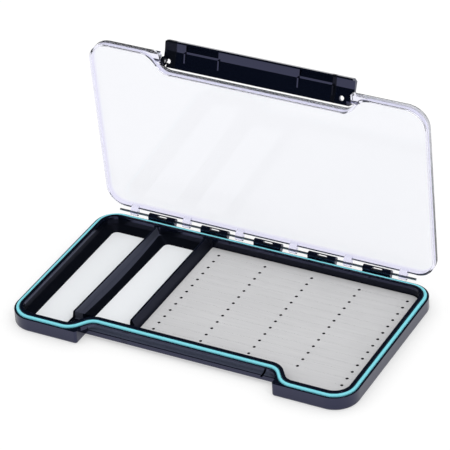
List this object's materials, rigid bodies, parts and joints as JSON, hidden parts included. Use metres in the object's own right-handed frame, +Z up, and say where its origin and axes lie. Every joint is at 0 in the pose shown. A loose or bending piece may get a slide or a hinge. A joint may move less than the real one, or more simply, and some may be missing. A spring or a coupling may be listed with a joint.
{
  "type": "fly box",
  "caption": "Slim compartment box for fishing flies: shallow tray with a slit pad and two lined bins, sealed rim, clear hinged lid and a full-width latch bar.",
  "frame": {"origin": "centre of the tray's underside, on the plane it rests on", "axes": "+X along the hinge, +Y towards the hinge at the back, +Z up out of the tray"},
  "size_m": [0.1934, 0.1122, 0.1206],
  "materials": {
    "tray_black": "gloss black moulded plastic",
    "latch_black": "gloss black moulded plastic",
    "seal_blue": "pale aqua silicone",
    "lid_clear": "clear moulded polycarbonate",
    "panel_white": "smooth white sheet",
    "pad_grey": "light grey soft pad",
    "tape": "thin black double-sided tape",
    "steel": "drawn stainless wire"
  },
  "bodies": {
    "tray": {"base_tray": "tray_black", "rim_seal": "seal_blue", "panel_tape_left": "tape", "panel_tape_middle": "tape", "white_panel_left": "panel_white", "white_panel_middle": "panel_white", "pad_tape": "tape", "slit_pad": "pad_grey", "hinge_rod": "steel"},
    "lid": {"lid_shell": "lid_clear", "latch_pin_left": "steel", "latch_pin_right": "steel"},
    "latch": {"latch_bar": "latch_black"}
  },
  "joints": [
    {"name": "lid_hinge", "type": "hinge", "parent": "tray", "child": "lid", "pos_m": [0, 0.05469, 0.00897], "axis": [-1, 0, 0], "range_deg": [-85.9, 90.1]},
    {"name": "latch_hinge", "type": "hinge", "parent": "lid", "child": "latch", "pos_m": [0, 0.05025, 0.1105], "axis": [-1, 0, 0], "range_deg": [-128, 5]}
  ]
}
